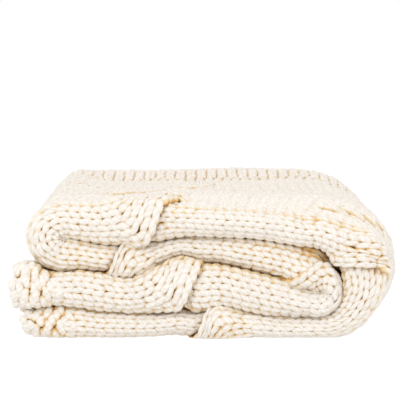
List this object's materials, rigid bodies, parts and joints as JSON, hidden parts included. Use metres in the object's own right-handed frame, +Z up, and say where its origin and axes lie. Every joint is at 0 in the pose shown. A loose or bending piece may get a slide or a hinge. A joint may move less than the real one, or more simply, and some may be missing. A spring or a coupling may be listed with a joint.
{
  "type": "folded knitted throw",
  "caption": "Chunky cable-knit cream wool throw, folded into a flat stack of layers, to lie on a bed, sofa arm, bench or shelf.",
  "frame": {"origin": "bottom centre of the folded throw's box, on the surface that it rests on", "axes": "+Z up; +Y from the long front fold to the knitted side borders at the back; +X to the right, from the two open ends and the roll towards the big curl"},
  "size_m": [0.4342, 0.6558, 0.1573],
  "materials": {
    "wool": "soft matte cream wool yarn, chunky cable knitting"
  },
  "bodies": {
    "root": {"throw": "wool"}
  },
  "joints": []
}
